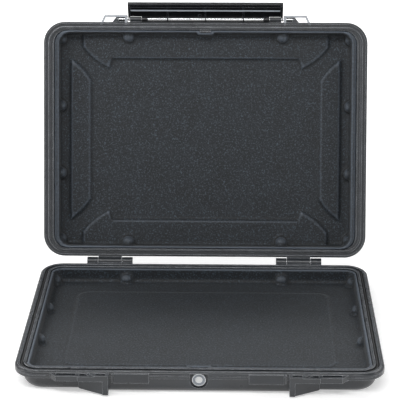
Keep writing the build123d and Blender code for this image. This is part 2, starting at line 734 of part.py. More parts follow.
def cove_tub(width, depth, corner, z_open, z_floor, radius):
    """A liner's hollow with a rounded cove at its floor."""
    low, high = sorted((z_open, z_floor))
    tub = plate(width, depth, corner, low, high)
    floor_face = tub.faces().sort_by(Axis.Z)[0 if z_floor < z_open else -1]
    return fillet(floor_face.edges(), radius)


def make_base_liner():
    """The padded tray in the base."""
    outer_inset = base_land + liner_gap
    inner_inset = outer_inset + base_liner_wall
    z_low = wall + liner_gap
    z_floor = z_low + base_liner_floor
    z_high = base_height - base_liner_top
    outside = plate(rim_width - 2 * outer_inset, rim_depth - 2 * outer_inset,
                    base_opening_corner - liner_gap, z_low, z_high)
    outside = fillet(outside.faces().sort_by(Axis.Z)[0].edges(), base_liner_edge)
    half_x = half_width - inner_inset
    half_y = half_depth - inner_inset
    hollow = cove_tub(2 * half_x, 2 * half_y, base_opening_corner - base_liner_wall,
                      z_high, z_floor, liner_floor_radius)
    hollow -= bumps(half_x, half_y, side_bump_reach, side_bump_reach, z_floor, z_high - bump_top)
    pad = Pos(0, 0, z_floor) * RectangleRounded(2 * (half_x - base_pad_margin),
                                                2 * (half_y - base_pad_margin), base_opening_corner)
    hollow -= extrude(pad, base_pad_rise, taper=pad_taper)
    # wall carried round the valve nut
    nut_front = rim_front + base_land
    hollow -= block(-relief_half_width - base_liner_wall, relief_half_width + base_liner_wall,
                    nut_front, nut_front + relief_reach + base_liner_wall, z_low, z_high)
    liner = outside - hollow
    nut_low = valve_z - nut_across_flats / sqrt(3) - liner_gap
    return liner - block(-relief_half_width, relief_half_width, nut_front,
                         nut_front + relief_reach, min(z_floor, nut_low), z_high)


def raised(points, z_floor, rise):
    """A raised pad on the lid liner's floor, with sloping sides, towards the parting face."""
    low = Pos(0, 0, z_floor) * make_face(Polyline(*points, close=True))
    return extrude(low, amount=rise, dir=(0, 0, -1), taper=pad_taper)


def make_lid_liner():
    """The padded liner in the lid, drawn closed."""
    side_inset = lid_side_land + liner_gap
    end_inset = lid_end_land + liner_gap
    z_flange = lid_face + lid_liner_flange_drop
    z_back = lid_top - wall - liner_gap
    z_floor = z_back - lid_liner_floor
    outside = plate(rim_width - 2 * side_inset, rim_depth - 2 * end_inset,
                    lid_opening_corner - liner_gap, z_flange, z_back)
    outside = fillet(outside.faces().sort_by(Axis.Z)[-1].edges(), lid_liner_edge)
    half_x = half_width - side_inset - lid_liner_side_wall
    half_y = half_depth - end_inset - lid_liner_end_wall
    hollow = cove_tub(2 * half_x, 2 * half_y, lid_opening_corner - lid_liner_end_wall,
                      z_flange, z_floor, liner_floor_radius)
    z_end = z_flange + bump_top
    hollow -= bumps(half_x, half_y, side_bump_reach, end_bump_reach, z_floor, z_end)
    for side in (-1, 1):
        hollow -= raised([(side * side_pad_edge, -side_pad_corner),
                          (side * (side_pad_edge - side_pad_step), side_pad_step - side_pad_corner),
                          (side * (side_pad_edge - side_pad_step), side_pad_corner - side_pad_step),
                          (side * side_pad_edge, side_pad_corner)], z_floor, pad_rise)
        edge = side * (half_y + strip_wall_gap)
        hollow -= raised([(-end_strip_side, edge), (end_strip_side, edge),
                          (end_strip_side, side * (end_strip_reach + end_strip_slope)),
                          (end_strip_notch, side * end_strip_reach),
                          (end_strip_corner, side * end_strip_edge),
                          (-end_strip_corner, side * end_strip_edge),
                          (-end_strip_notch, side * end_strip_reach),
                          (-end_strip_side, side * (end_strip_reach + end_strip_slope))], z_floor, pad_rise)
    nut_front = rim_front + lid_end_land
    hollow -= block(-relief_half_width, relief_half_width, nut_front,
                    nut_front + tab_reach + lid_liner_end_wall, z_flange, z_floor)
    liner = outside - hollow
    return liner - block(-tab_half_width - liner_gap, tab_half_width + liner_gap, nut_front,
                         nut_front + tab_reach + liner_gap, z_flange, lid_face + wall + liner_gap)


def valve_places():
    """Places along the valve's axis, from the front inwards."""
    seat = bay_front + valve_recess_depth
    inside = rim_front + base_land
    return {"front": seat - gasket_thickness - valve_flange_thickness,
            "flange_back": seat - gasket_thickness, "seat": seat,
            "inside": inside, "end": inside + nut_thickness}


def make_valve_body():
    """A flanged metal bush with a counterbore in front and a shank through the wall."""
    at = valve_places()
    body = rod_y(0, valve_z, valve_flange_diameter / 2, at["front"], at["flange_back"])
    rim = body.edges().filter_by(GeomType.CIRCLE).sort_by(Axis.Y)[0]
    body = chamfer(rim, valve_flange_bevel)
    body += rod_y(0, valve_z, valve_shank_diameter / 2, at["flange_back"], at["end"])
    body -= rod_y(0, valve_z, valve_flange_diameter / 2 - valve_flange_lip, at["front"],
                  at["front"] + valve_seat_depth)
    return body - rod_y(0, valve_z, valve_bore_diameter / 2, at["front"], at["end"])


def make_valve_gasket():
    """A flat gasket between the flange and the recess."""
    at = valve_places()
    back = at["flange_back"]
    gasket = rod_y(0, valve_z, gasket_diameter / 2, back, at["seat"])
    return gasket - rod_y(0, valve_z, valve_shank_diameter / 2 + stack_gap, back, at["seat"])


def valve_disc(depth_in, thickness):
    """A thin disc in the valve's counterbore."""
    start = valve_places()["front"] + depth_in
    radius = valve_flange_diameter / 2 - valve_flange_lip - stack_gap
    return rod_y(0, valve_z, radius, start, start + thickness)


def make_valve_cover():
    cover = valve_disc(stack_gap, cover_thickness)
    front = valve_places()["front"]
    opening = rod_y(0, valve_z, cover_opening / 2, front, front + valve_seat_depth)
    return cover - opening


def make_valve_membrane():
    return valve_disc(2 * stack_gap + cover_thickness, membrane_thickness)


def make_valve_screen():
    screen = valve_disc(3 * stack_gap + cover_thickness + membrane_thickness, screen_thickness)
    front = valve_places()["front"]
    for index in range(screen_hole_count):
        angle = radians(index * 360 / screen_hole_count)
        screen -= rod_y(screen_hole_radius * cos(angle), valve_z + screen_hole_radius * sin(angle),
                        screen_hole_diameter / 2, front, front + valve_flange_thickness)
    return screen


def make_valve_nut():
    at = valve_places()
    flats = Plane(origin=(0, at["inside"], valve_z), z_dir=(0, 1, 0))
    nut = extrude(flats * RegularPolygon(nut_across_flats / 2, 6, major_radius=False), nut_thickness)
    return nut - rod_y(0, valve_z, valve_shank_diameter / 2 + thread_gap, at["inside"], at["end"])


def make_hinge_pin(place):
    return rod_x(hinge_y, base_height, hinge_pin_diameter / 2, place - hinge_width / 2,
                 place + hinge_width / 2)


def make_latch_pin(side):
    x0, x1 = sorted((side * pin_middle_gap / 2, side * latch_pin_end))
    return rod_x(latch_y, latch_z, latch_pin_diameter / 2, x0, x1)


left_loop = padlock_loop()
left_rivets = rivet_set()
nodes = {
    "base_shell": make_base_shell(),
    "base_liner": make_base_liner(),
    "seal_ring": make_seal_ring(),
    "valve_body": make_valve_body(),
    "valve_cover": make_valve_cover(),
    "valve_membrane": make_valve_membrane(),
    "valve_screen": make_valve_screen(),
    "valve_gasket": make_valve_gasket(),
    "valve_nut": make_valve_nut(),
    "hinge_pin_left": make_hinge_pin(-hinge_centre),
    "hinge_pin_right": make_hinge_pin(hinge_centre),
    "lid_shell": lid_swing(make_lid_shell()),
    "lid_liner": lid_swing(make_lid_liner()),
    "padlock_loop_left": lid_swing(left_loop),
    "padlock_loop_right": lid_swing(mirror(left_loop, about=Plane.YZ)),
    "loop_rivets_left": lid_swing(left_rivets),
    "loop_rivets_right": lid_swing(mirror(left_rivets, about=Plane.YZ)),
    "latch_pin_left": lid_swing(make_latch_pin(-1)),
    "latch_pin_right": lid_swing(make_latch_pin(1)),
    "latch": lid_swing(make_latch()),
}
for name, solid in nodes.items():
    export_step(solid, f"parts/{name}.step")
    print(name, len(solid.solids()), round(solid.volume), solid.bounding_box())
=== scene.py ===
# %% [markdown]
# # A slim hard case for a portable computer
# The case lies open on a white table. The mechanical model arrives with every moulded part,
# pin and latch at its real size. This lesson gives those parts their surfaces, models the two
# padded liners as soft foam, and sets up the table, the light and the camera.

# %% Load the mechanical model
import json
import math

import bmesh
import bpy
import numpy
from mathutils import Matrix, Vector


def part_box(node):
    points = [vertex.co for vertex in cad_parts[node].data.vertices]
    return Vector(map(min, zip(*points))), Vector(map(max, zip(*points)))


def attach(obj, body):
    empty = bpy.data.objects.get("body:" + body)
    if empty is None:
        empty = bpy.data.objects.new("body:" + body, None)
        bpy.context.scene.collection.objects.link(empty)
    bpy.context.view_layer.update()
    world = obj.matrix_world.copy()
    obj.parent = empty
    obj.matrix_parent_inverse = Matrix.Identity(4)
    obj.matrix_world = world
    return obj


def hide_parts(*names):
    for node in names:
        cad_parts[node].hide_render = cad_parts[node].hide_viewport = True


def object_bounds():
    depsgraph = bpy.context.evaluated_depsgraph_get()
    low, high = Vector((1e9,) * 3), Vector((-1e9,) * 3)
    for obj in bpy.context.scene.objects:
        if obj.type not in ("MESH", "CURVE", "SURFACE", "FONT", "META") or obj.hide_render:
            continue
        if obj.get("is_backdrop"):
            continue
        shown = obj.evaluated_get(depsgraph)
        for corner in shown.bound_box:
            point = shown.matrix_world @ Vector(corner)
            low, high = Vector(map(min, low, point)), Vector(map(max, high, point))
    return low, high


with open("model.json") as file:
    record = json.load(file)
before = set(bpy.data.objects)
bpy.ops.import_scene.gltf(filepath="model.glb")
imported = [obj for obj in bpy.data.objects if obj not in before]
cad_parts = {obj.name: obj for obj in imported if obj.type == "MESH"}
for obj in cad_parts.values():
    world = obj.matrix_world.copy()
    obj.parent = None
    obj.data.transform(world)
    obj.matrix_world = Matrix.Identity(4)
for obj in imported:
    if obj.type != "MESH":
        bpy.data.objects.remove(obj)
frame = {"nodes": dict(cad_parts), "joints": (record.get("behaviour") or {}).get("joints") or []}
cad_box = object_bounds()
scene = bpy.context.scene
nodes = frame["nodes"]

# %% [markdown]
# ## Camera
# A product photograph like this is taken with a long lens from well back, so the edges of the
# case stay nearly parallel. The camera stands about 1.7 m in front of the middle of the case
# and 0.85 m above the table, and looks down at it. Building the camera's three axes from its
# heading, its tilt and a small roll keeps each of them readable on its own.

# %% Camera
camera_place = Vector((0.0375, -1.7254, 0.852))
heading = math.radians(-1.303)
tilt_down = math.radians(21.345)
roll = math.radians(-0.12)
focal_in_image_widths = 3.876
sensor_width = 36.0

forward = Vector((math.sin(heading) * math.cos(tilt_down),
                  math.cos(heading) * math.cos(tilt_down), -math.sin(tilt_down)))
level_right = Vector((math.cos(heading), -math.sin(heading), 0))
level_up = level_right.cross(forward)
right = level_right * math.cos(roll) + level_up * math.sin(roll)
up = level_up * math.cos(roll) - level_right * math.sin(roll)

camera_data = bpy.data.cameras.new("photo_camera")
camera_data.sensor_width = sensor_width
camera_data.lens = focal_in_image_widths * sensor_width
camera_data.clip_end = 30
camera = bpy.data.objects.new("photo_camera", camera_data)
scene.collection.objects.link(camera)
turn = Matrix((right, up, -forward)).transposed().to_4x4()
camera.matrix_world = Matrix.Translation(camera_place) @ turn
scene.camera = camera
print("lens", round(camera_data.lens, 1), "mm")

# %% [markdown]
# ## Small helpers for materials
# Colours are easiest to compare with a picture as hex values, but the renderer works in linear
# light, so one function converts them. A second one adds a shader node with its settings and
# its links, which keeps each material short enough to read as a recipe. A third does one step
# of arithmetic.

# %% Helpers: colour and nodes
def linear(hex_colour):
    """An sRGB hex colour, such as #808080, as linear RGBA by the curve of the sRGB standard."""
    levels = [level / 255 for level in bytes.fromhex(hex_colour[1:])]
    return tuple(level / 12.92 if level <= 0.04045 else ((level + 0.055) / 1.055) ** 2.4
                 for level in levels) + (1.0,)


def add_node(tree, kind, settings=None, inputs=None):
    """Add a shader node. An input is a value, or another node's output socket."""
    node = tree.nodes.new(kind)
    for name, value in (settings or {}).items():
        setattr(node, name, value)
    for name, value in (inputs or {}).items():
        if isinstance(value, bpy.types.NodeSocket):
            tree.links.new(value, node.inputs[name])
        else:
            node.inputs[name].default_value = value
    return node


def maths(tree, operation, first, second):
    """One step of arithmetic on two values or output sockets."""
    return add_node(tree, "ShaderNodeMath", {"operation": operation},
                    {0: first, 1: second}).outputs[0]


MM = 0.001
print("mid grey in linear light:", round(linear("#808080")[0], 3))

# %% [markdown]
# ## Building blocks that several finishes share
# Every finish here starts the same way: a material whose pattern is placed in the part's own
# metres, so that a grain of one millimetre is one millimetre on every part and moves with it.
# Noise size is given as the real width of one grain. A very small rounding of the shading at
# the edges stands for the radius that every moulded or stamped edge has.

# %% Helpers: start a finish, noise at a real size, edges and height
def start_finish(name):
    """A new material, its node tree, its surface shader and coordinates in metres."""
    material = bpy.data.materials.new(name)
    material.use_nodes = True
    tree = material.node_tree
    surface = tree.nodes["Principled BSDF"]
    place = add_node(tree, "ShaderNodeTexCoord").outputs["Object"]
    return material, tree, surface, place


def grain(tree, place, width, detail=2.0, roughness=0.5, stretch=None):
    """Noise whose grains are about `width` metres across, stretched along an axis if asked."""
    if stretch:
        place = add_node(tree, "ShaderNodeMapping", {"vector_type": "TEXTURE"},
                         {"Vector": place, "Scale": stretch}).outputs["Vector"]
    return add_node(tree, "ShaderNodeTexNoise", None,
                    {"Vector": place, "Scale": 1 / width, "Detail": detail,
                     "Roughness": roughness}).outputs["Fac"]


def spread(tree, value, low, high, out_low, out_high):
    """Map the range low..high of a value to out_low..out_high, clamped."""
    return add_node(tree, "ShaderNodeMapRange", None,
                    {"Value": value, "From Min": low, "From Max": high,
                     "To Min": out_low, "To Max": out_high}).outputs["Result"]


# The Mix node has sockets of one name for numbers, vectors and colours, so its colour
# sockets are found by their place in the list.
MIX_FACTOR, MIX_FIRST, MIX_SECOND, MIX_RESULT = 0, 6, 7, 2


def blend_colours(tree, factor, first, second):
    """Colour that goes from first to second as factor goes from 0 to 1."""
    mix = add_node(tree, "ShaderNodeMix", {"data_type": "RGBA"},
                   {MIX_FACTOR: factor, MIX_FIRST: first, MIX_SECOND: second})
    return mix.outputs[MIX_RESULT]


def relief(tree, surface, height, distance, edge_radius):
    """Surface relief of `distance` metres over softly rounded edges."""
    edges = add_node(tree, "ShaderNodeBevel", {"samples": 4}, {"Radius": edge_radius})
    bump = add_node(tree, "ShaderNodeBump", None,
                    {"Height": height, "Distance": distance, "Normal": edges.outputs["Normal"]})
    tree.links.new(bump.outputs["Normal"], surface.inputs["Normal"])


def edge_mask(tree, radius, strength):
    """0 on flat areas, up to 1 close to a convex or concave edge."""
    soft = add_node(tree, "ShaderNodeBevel", {"samples": 4}, {"Radius": radius}).outputs["Normal"]
    hard = add_node(tree, "ShaderNodeNewGeometry").outputs["Normal"]
    match = add_node(tree, "ShaderNodeVectorMath", {"operation": "DOT_PRODUCT"},
                     {0: soft, 1: hard}).outputs["Value"]
    return spread(tree, match, 1.0, 1.0 - strength, 0.0, 1.0)


print("helpers ready")

# %% [markdown]
# ## Moulded shell plastic
# The shells are injection-moulded in a tough ABS blend. The steel mould is spark-eroded, which
# prints a fine even grain on the plastic and makes it satin, so a lamp shows as a wide soft
# glow. The real grain is about 0.3 mm; it is drawn at 0.8 mm, because anything finer would
# vanish at this picture's size. The edges are painted lighter in uneven patches: partly wear,
# as handling polishes them, and partly a painted highlight for the light lines that lamps draw
# along edges and ridges.

# %% Spark-eroded ABS
shell_plastic, tree, surface, place = start_finish("spark_eroded_abs")
cloud = grain(tree, place, 45 * MM, 3.0)
fine = grain(tree, place, 0.8 * MM, 2.0, 0.6)
tone = blend_colours(tree, spread(tree, cloud, 0.35, 0.65, 0.0, 1.0),
                     linear("#212428"), linear("#2a2e33"))
tone = blend_colours(tree, spread(tree, fine, 0.5, 0.75, 0.0, 0.5), tone, linear("#3f444a"))
# Painted highlight and wear: edges are painted lighter in patches, partly for handling wear and
# partly for the lamps' light lines.
edge_wear_and_highlight = edge_mask(tree, 0.9 * MM, 0.2)
edge_patches = spread(tree, grain(tree, place, 9 * MM, 4.0, 0.7), 0.35, 0.65, 0.4, 1.0)
tone = blend_colours(tree, maths(tree, "MULTIPLY", edge_wear_and_highlight, edge_patches), tone, linear("#b4b8be"))
tree.links.new(tone, surface.inputs["Base Color"])
tree.links.new(spread(tree, cloud, 0.3, 0.7, 0.26, 0.34), surface.inputs["Roughness"])
surface.inputs["IOR"].default_value = 1.53
relief(tree, surface, fine, 0.05 * MM, 0.5 * MM)
print("made", shell_plastic.name)

# %% [markdown]
# ## Polished latch plastic
# The latch is moulded in black acetal in a polished mould. It is smooth enough to mirror the
# lamps as bright bands on its lip and ribs. Fine rubbing marks, drawn about 1.5 mm apart,
# break those bands a little. The crest of the hook slides over the catch each time the case is
# shut, and it is painted pale there: partly for that rubbing and partly as a painted highlight
# along the crest. Its other edges are painted paler as well, partly wear and partly painted
# highlight. The crest is found from the latch's hinge, which the mechanical model gives.

# %% Polished acetal
latch_joint = next(joint for joint in frame["joints"] if joint["name"] == "latch_hinge")
crest_from_pin = Vector((0.0, -11.556, 13.856)) * MM
hook_crest = Vector(latch_joint["pos_m"]) + crest_from_pin
latch_plastic, tree, surface, place = start_finish("polished_acetal")
rubs = grain(tree, place, 1.5 * MM, 3.0, 0.6, stretch=(6.0, 1.0, 1.0))
cloud = grain(tree, place, 30 * MM, 2.0)
tone = blend_colours(tree, spread(tree, cloud, 0.3, 0.7, 0.0, 1.0),
                     linear("#0e0f11"), linear("#16171a"))
# Painted highlight and rubbing wear: a pale band along the hook's crest.
across = add_node(tree, "ShaderNodeVectorMath", {"operation": "MULTIPLY"},
                  {0: place, 1: (0.0, 1.0, 1.0)}).outputs["Vector"]
from_crest = add_node(tree, "ShaderNodeVectorMath", {"operation": "DISTANCE"},
                      {0: across, 1: hook_crest}).outputs["Value"]
crest_rubbing_and_highlight = spread(tree, from_crest, 1.0 * MM, 1.6 * MM, 1.0, 0.0)
# Painted highlight and wear: the latch's edges are painted paler.
edge_wear_and_highlight = edge_mask(tree, 0.6 * MM, 0.3)
tone = blend_colours(tree, edge_wear_and_highlight, tone, linear("#7b8089"))
tone = blend_colours(tree, crest_rubbing_and_highlight, tone, linear("#aab0b9"))
tree.links.new(tone, surface.inputs["Base Color"])
tree.links.new(spread(tree, rubs, 0.3, 0.75, 0.1, 0.2), surface.inputs["Roughness"])
surface.inputs["IOR"].default_value = 1.48
relief(tree, surface, rubs, 0.01 * MM, 0.4 * MM)
print("made", latch_plastic.name)

# %% [markdown]
# ## Liner foam
# The liners are sheets of closed-cell foam, pressed into a heated tool together with a thin
# flocked skin. The skin drinks light, shows no clear highlight, and is speckled where tufts of
# fibres catch the lamp. The tufts are drawn at 1.9 mm, coarser than the real ones, so that the
# speckle shows, and dull patches of 2.6 mm break it up. Every crease is painted dark as painted
# shade, and every raised edge is painted paler as a painted highlight, so that the pressed forms
# show. The tool presses the pile flat over the raised edges, which makes them smoother.
# Pointiness tells creases and raised edges apart. Sheen stands for the soft brightening of a pile
# seen edge-on.

# %% Flocked closed-cell foam
liner_foam, tree, surface, place = start_finish("flocked_pressed_foam")
cloud = grain(tree, place, 28 * MM, 3.0)
fibres = grain(tree, place, 1.9 * MM, 3.0, 0.7)
dull = grain(tree, place, 2.6 * MM, 1.0, 0.5)
tone = blend_colours(tree, spread(tree, cloud, 0.35, 0.65, 0.0, 1.0),
                     linear("#0f1317"), linear("#161b20"))
tone = blend_colours(tree, spread(tree, fibres, 0.52, 0.66, 0.0, 1.0), tone, linear("#3f4a55"))
tone = blend_colours(tree, spread(tree, dull, 0.55, 0.7, 0.0, 0.6), tone, linear("#15181b"))
bend = add_node(tree, "ShaderNodeNewGeometry").outputs["Pointiness"]
# Painted shade in the creases, then a painted highlight on the raised edges.
tone = blend_colours(tree, spread(tree, bend, 0.49, 0.45, 0.0, 0.85), tone, linear("#0d0f11"))
tone = blend_colours(tree, spread(tree, bend, 0.51, 0.55, 0.0, 0.55), tone, linear("#6f7986"))
tree.links.new(tone, surface.inputs["Base Color"])
pile_roughness = spread(tree, fibres, 0.3, 0.7, 0.72, 0.55)
flattened = spread(tree, bend, 0.51, 0.56, 0.0, 0.3)
tree.links.new(maths(tree, "SUBTRACT", pile_roughness, flattened), surface.inputs["Roughness"])
surface.inputs["IOR"].default_value = 1.45
surface.inputs["Sheen Weight"].default_value = 0.1
surface.inputs["Sheen Roughness"].default_value = 0.5
foam_bump = add_node(tree, "ShaderNodeBump", None, {"Height": fibres, "Distance": 0.5 * MM})
tree.links.new(foam_bump.outputs["Normal"], surface.inputs["Normal"])
print("made", liner_foam.name)

# %% [markdown]
# ## Metals
# The padlock loops are stamped from stainless sheet and blasted with fine beads, so they are
# evenly grey and nearly matt, and the sheet's rolling grain only just shows. Their stamped edges
# are painted darker, as painted shade that outlines the loops against the white table. The pins
# are ground rod, bright and smooth, with fine rings round them.
# The valve's body is turned from aluminium bar and anodised clear. The lathe leaves rings round
# its axis, drawn 3.8 mm apart, far coarser than real ones, so that they show. A metal's colour
# goes in its base colour, and its IOR stays as it is.

# %% Blasted stainless sheet
loop_steel, tree, surface, place = start_finish("blasted_stainless_sheet")
rolling = grain(tree, place, 0.7 * MM, 4.0, 0.7, stretch=(5.0, 1.0, 1.0))
cloud = grain(tree, place, 8 * MM, 3.0)
tone = blend_colours(tree, spread(tree, cloud, 0.3, 0.7, 0.0, 1.0),
                     linear("#8c8f94"), linear("#9c9fa3"))
# Painted shade: the stamped edges are darkened to outline the loops.
tone = blend_colours(tree, edge_mask(tree, 0.5 * MM, 0.5), tone, linear("#5c5f64"))
tree.links.new(tone, surface.inputs["Base Color"])
surface.inputs["Metallic"].default_value = 1.0
tree.links.new(spread(tree, rolling, 0.3, 0.7, 0.48, 0.62), surface.inputs["Roughness"])
relief(tree, surface, rolling, 0.015 * MM, 0.3 * MM)
print("made", loop_steel.name)

# %% Ground stainless rod
pin_steel, tree, surface, place = start_finish("ground_stainless_rod")
rings = grain(tree, place, 0.8 * MM, 3.0, 0.6, stretch=(0.4, 6.0, 6.0))
tone = blend_colours(tree, spread(tree, rings, 0.3, 0.7, 0.0, 1.0),
                     linear("#cdcfd2"), linear("#dfe0e2"))
tree.links.new(tone, surface.inputs["Base Color"])
surface.inputs["Metallic"].default_value = 1.0
tree.links.new(spread(tree, rings, 0.3, 0.7, 0.14, 0.24), surface.inputs["Roughness"])
relief(tree, surface, rings, 0.01 * MM, 0.2 * MM)
print("made", pin_steel.name)

# %% Turned anodised aluminium
valve_metal, tree, surface, place = start_finish("turned_anodised_aluminium")
low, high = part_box("valve_body")
valve_middle = (low + high) / 2
from_axis = add_node(tree, "ShaderNodeMapping", {"vector_type": "POINT"},
                     {"Vector": place, "Location": -valve_middle}).outputs["Vector"]
ring_spacing = 3.77 * MM
wave_radians = 20  # phase of the wave texture over one unit at scale 1
lathe_rings = add_node(tree, "ShaderNodeTexWave",
                       {"wave_type": "RINGS", "rings_direction": "Y"},
                       {"Vector": from_axis, "Scale": 2 * math.pi / wave_radians / ring_spacing,
                        "Distortion": 0.4, "Detail": 2.0}).outputs["Fac"]
tone = blend_colours(tree, lathe_rings, linear("#b9bbbd"), linear("#cfd0d1"))
tree.links.new(tone, surface.inputs["Base Color"])
surface.inputs["Metallic"].default_value = 1.0
tree.links.new(spread(tree, lathe_rings, 0.0, 1.0, 0.26, 0.36), surface.inputs["Roughness"])
relief(tree, surface, lathe_rings, 0.01 * MM, 0.3 * MM)
print("made", valve_metal.name, "centred on", [round(v, 4) for v in valve_middle])

# %% [markdown]
# ## Valve disc, valve cover and rubber
# The white disc in the valve is a porous film, pressed from fibres: dead matt, with a faint
# tooth. The cover ring that holds it is plain grey moulded nylon. The seal in the rim and the
# washer behind the valve are extruded rubber, matt and slightly dusty.

# %% Porous film, nylon and rubber
film, tree, surface, place = start_finish("porous_white_film")
tooth = grain(tree, place, 0.5 * MM, 3.0, 0.7)
tone = blend_colours(tree, spread(tree, tooth, 0.35, 0.65, 0.0, 1.0),
                     linear("#eceded"), linear("#f5f5f4"))
tree.links.new(tone, surface.inputs["Base Color"])
surface.inputs["Roughness"].default_value = 0.7
film_bump = add_node(tree, "ShaderNodeBump", None, {"Height": tooth, "Distance": 0.05 * MM})
tree.links.new(film_bump.outputs["Normal"], surface.inputs["Normal"])

nylon, tree, surface, place = start_finish("moulded_nylon")
pores = grain(tree, place, 0.5 * MM, 2.0)
tone = blend_colours(tree, pores, linear("#888e96"), linear("#989ea6"))
tree.links.new(tone, surface.inputs["Base Color"])
tree.links.new(spread(tree, pores, 0.3, 0.7, 0.4, 0.5), surface.inputs["Roughness"])
relief(tree, surface, pores, 0.02 * MM, 0.2 * MM)

rubber, tree, surface, place = start_finish("extruded_rubber")
dust = grain(tree, place, 1.2 * MM, 4.0, 0.7)
tone = blend_colours(tree, spread(tree, dust, 0.5, 0.8, 0.0, 1.0),
                     linear("#141516"), linear("#2c2d2e"))
tree.links.new(tone, surface.inputs["Base Color"])
tree.links.new(spread(tree, dust, 0.3, 0.7, 0.55, 0.75), surface.inputs["Roughness"])
relief(tree, surface, dust, 0.03 * MM, 0.2 * MM)
print("made", film.name, nylon.name, rubber.name)

# %% [markdown]
# ## Dress the mechanical parts
# The shape of the moulded and turned parts is already right, so each keeps its own mesh and
# only gets its finish. One table of part and finish is easier to check than a call per part.

# %% Give every hard part its finish
finish_of = {
    "base_shell": shell_plastic, "lid_shell": shell_plastic, "latch": latch_plastic,
    "seal_ring": rubber, "valve_gasket": rubber, "valve_body": valve_metal,
    "valve_nut": valve_metal, "valve_cover": nylon, "valve_membrane": film,
    "valve_screen": loop_steel, "padlock_loop_left": loop_steel,
    "padlock_loop_right": loop_steel, "loop_rivets_left": loop_steel,
    "loop_rivets_right": loop_steel, "hinge_pin_left": pin_steel, "hinge_pin_right": pin_steel,
    "latch_pin_left": pin_steel, "latch_pin_right": pin_steel,
}
for part_name, finish in finish_of.items():
    for slot in nodes[part_name].material_slots:
        slot.material = finish
print("dressed", len(finish_of), "parts")

# %% [markdown]
# ## The padded liners
# Foam pressed in a tool has no sharp edge anywhere: every step, bump and corner is rounded by
# the thickness of the sheet, and large flat areas stay a little uneven. To get that, the
# liner's solid is copied, rebuilt as an even net of small squares, and relaxed until its edges
# are soft. A slow, shallow unevenness is then pushed in along the surface. Cloth simulation
# would puff it up like a cushion, and this foam is firm.

# %% Sizes of the pressed foam
net_square = 1.7 * MM        # squares of the even net
weld_gap = 0.001 * MM        # points closer than this are one point
relax_rounds = 3             # rounds of smoothing that soften the edges
swell_width = 50 * MM        # width of the slow unevenness
swell_height = 0.7 * MM
pad_bow = 3.5 * MM           # how far a pad's slanted edge bows outwards
bow_reach = 11 * MM          # distance from the edge at which the bow has faded out
lid_joint = next(joint for joint in frame["joints"] if joint["name"] == "lid_hinge")
lid_hinge = numpy.array(lid_joint["pos_m"])
lid_angle = math.radians(max(lid_joint["range_deg"]))
print("lid stands open by", round(math.degrees(lid_angle), 1), "degrees")

# %% [markdown]
# Bowing an edge is done on all points at once: each is turned with the lid to the closed pose,
# pushed outwards, and turned back. The push is greatest at the middle of the edge, zero at its
# two ends, and fades smoothly with the distance from the edge.

# %% Helper: bow the pads' slanted edges
def bow_edges(mesh, edges):
    """Bow straight edges, each given as (start, end, outward) in the closed lid's plane."""
    places = numpy.empty(len(mesh.vertices) * 3)
    mesh.vertices.foreach_get("co", places)
    turn = numpy.array(Matrix.Rotation(lid_angle, 3, "X"))
    closed = (places.reshape(-1, 3) - lid_hinge) @ turn.T + lid_hinge
    shift = numpy.zeros_like(closed)
    for start, end, outward in edges:
        start, end, outward = (numpy.array(v) for v in (start, end, outward))
        along = end - start
        length = numpy.linalg.norm(along)
        sideways = numpy.array((-along[1], along[0])) / length
        if sideways @ outward < 0:
            sideways = -sideways
        offset = closed[:, :2] - start
        part = numpy.clip(offset @ along / length ** 2, 0, 1)
        fade = numpy.clip(1 - numpy.abs(offset @ sideways) / bow_reach, 0, 1)
        push = pad_bow * 4 * part * (1 - part) * fade * fade * (3 - 2 * fade)
        shift[:, :2] += push[:, None] * sideways
    closed += shift
    mesh.vertices.foreach_set("co", ((closed - lid_hinge) @ turn + lid_hinge).ravel())


print("edges bow by", pad_bow / MM, "mm")

# %% [markdown]
# Pressing a liner follows the steps above: weld, rebuild, relax, bow and push in the
# unevenness. The soft shape then rides on the liner's body and takes the solid's place.

# %% Helper: press a liner from its solid
def apply_modifiers(obj):
    """Replace the object's mesh by its evaluated mesh and clear the modifiers."""
    graph = bpy.context.evaluated_depsgraph_get()
    shaped = bpy.data.meshes.new_from_object(obj.evaluated_get(graph))
    old = obj.data
    obj.modifiers.clear()
    obj.data = shaped
    bpy.data.meshes.remove(old)


def press_liner(name, node, body, bowed=()):
    """A soft pressed liner in the space of its solid, with the edges in `bowed` bowed."""
    mesh = nodes[node].data.copy()
    mesh.materials.clear()
    welded = bmesh.new()
    welded.from_mesh(mesh)
    bmesh.ops.remove_doubles(welded, verts=welded.verts, dist=weld_gap)
    welded.to_mesh(mesh)
    welded.free()
    liner = bpy.data.objects.new(name, mesh)
    scene.collection.objects.link(liner)
    net = liner.modifiers.new("even_net", "REMESH")
    net.mode = "VOXEL"
    net.voxel_size = net_square
    relax = liner.modifiers.new("soft_edges", "SMOOTH")
    relax.factor = 0.5
    relax.iterations = relax_rounds
    apply_modifiers(liner)
    bow_edges(liner.data, bowed)
    swell = bpy.data.textures.new(name + "_unevenness", "CLOUDS")
    swell.noise_scale = swell_width
    swell.noise_depth = 1
    uneven = liner.modifiers.new("unevenness", "DISPLACE")
    uneven.texture = swell
    uneven.texture_coords = "LOCAL"
    uneven.strength = swell_height
    uneven.mid_level = 0.5
    apply_modifiers(liner)
    for polygon in liner.data.polygons:
        polygon.use_smooth = True
    liner.data.materials.append(liner_foam)
    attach(liner, body)
    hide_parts(node)
    print(name, "faces", len(liner.data.polygons))


print("ready to press")

# %% [markdown]
# The lid liner's pads and strips end in slanted edges that bow outwards. They are written down
# in the plane of the closed lid, where they are simple: the start, the end and the outward
# direction of the edge in one corner, in metres, mirrored into the other three.

